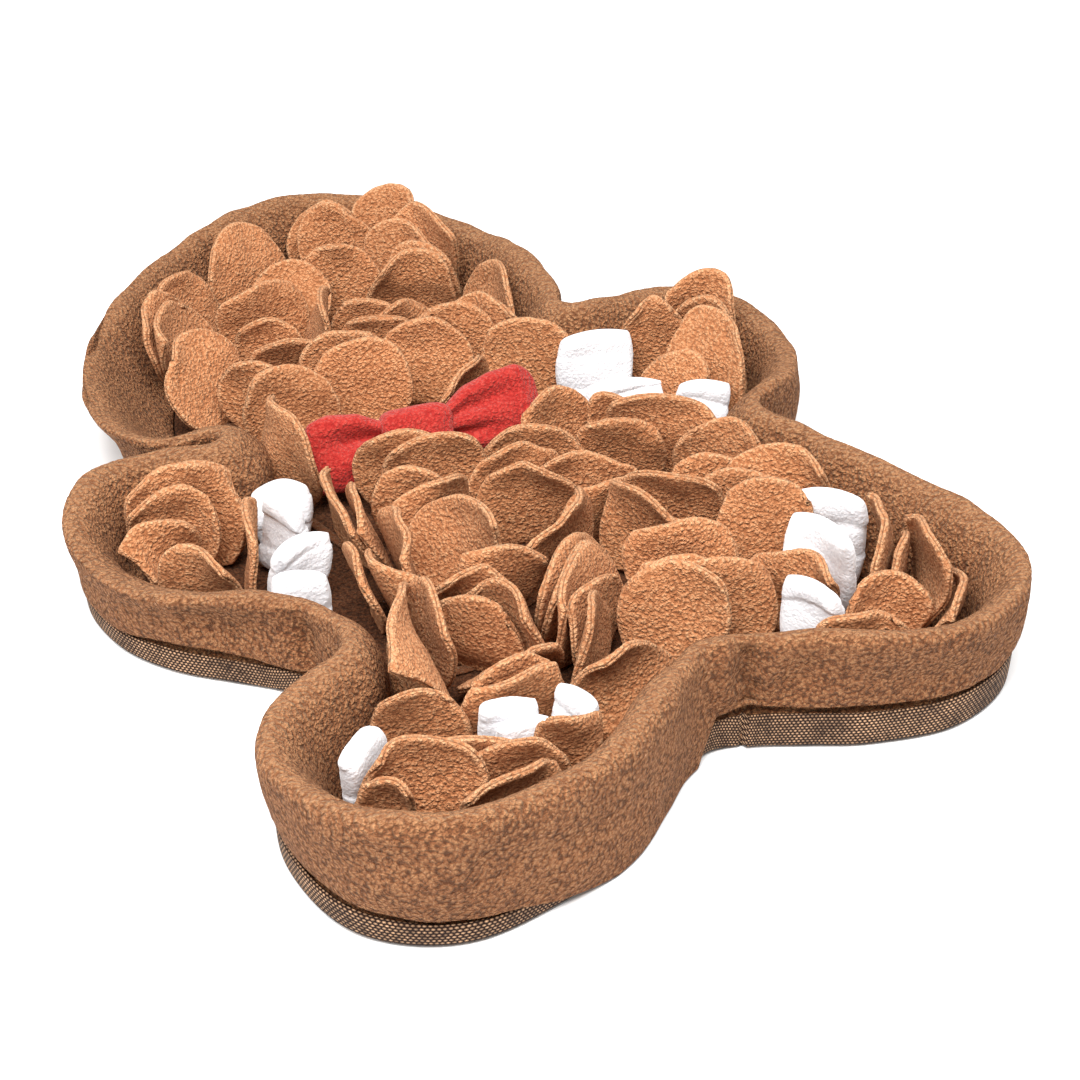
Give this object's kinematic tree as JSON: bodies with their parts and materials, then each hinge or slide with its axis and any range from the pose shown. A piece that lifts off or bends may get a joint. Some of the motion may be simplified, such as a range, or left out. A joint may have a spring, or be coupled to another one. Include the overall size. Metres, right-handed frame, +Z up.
{
  "type": "snuffle mat",
  "caption": "Gingerbread-figure snuffle mat: padded wall on a woven tray, filled with standing fleece petals, white strips and a red bow.",
  "frame": {"origin": "on the surface under the mat, on the figure's middle line, below its chest; the underside is Z = 0", "axes": "+X towards the arm at the right of the picture, +Y towards the head, +Z up"},
  "size_m": [0.3871, 0.5207, 0.0695],
  "materials": {
    "woven_base": "coarse dark brown weave with small tan dots",
    "brown_fleece": "short brown fleece",
    "tan_fleece": "pebbly caramel fleece",
    "red_fleece": "soft red fleece",
    "white_fleece": "soft white fleece"
  },
  "bodies": {
    "root": {"base_panel": "woven_base", "floor_panel": "brown_fleece", "wall": "tan_fleece", "bow": "red_fleece", "head_back_left": "tan_fleece", "head_back_right": "tan_fleece", "head_far_right": "tan_fleece", "head_right_cup": "tan_fleece", "head_right_wall": "tan_fleece", "head_middle": "tan_fleece", "head_front": "tan_fleece", "head_front_left": "tan_fleece", "head_left_wall": "tan_fleece", "head_left": "tan_fleece", "head_left_corner": "tan_fleece", "head_left_low": "tan_fleece", "neck_middle": "tan_fleece", "neck_left": "tan_fleece", "side_left": "tan_fleece", "side_left_low": "tan_fleece", "chest_left": "tan_fleece", "chest_low_left": "tan_fleece", "chest_middle": "tan_fleece", "chest_right": "tan_fleece", "chest_far_right": "tan_fleece", "side_right_cup": "tan_fleece", "belly_back": "tan_fleece", "belly_right": "tan_fleece", "belly_pages": "tan_fleece", "belly_left": "tan_fleece", "belly_flap": "tan_fleece", "belly_low": "tan_fleece", "hip_left": "tan_fleece", "crotch": "tan_fleece", "hip_right": "tan_fleece", "hip_far_right": "tan_fleece", "side_right": "tan_fleece", "hand_left": "tan_fleece", "hand_left_front": "tan_fleece", "hand_right": "tan_fleece", "hand_right_back": "tan_fleece", "hand_right_front": "tan_fleece", "foot_left": "tan_fleece", "foot_left_front": "tan_fleece", "foot_right": "tan_fleece", "foot_right_front": "tan_fleece", "wrist_strips_left": "white_fleece", "wrist_strips_right": "white_fleece", "ankle_strip_outer": "white_fleece", "ankle_strips_left": "white_fleece", "ankle_strips_right": "white_fleece"}
  },
  "joints": []
}
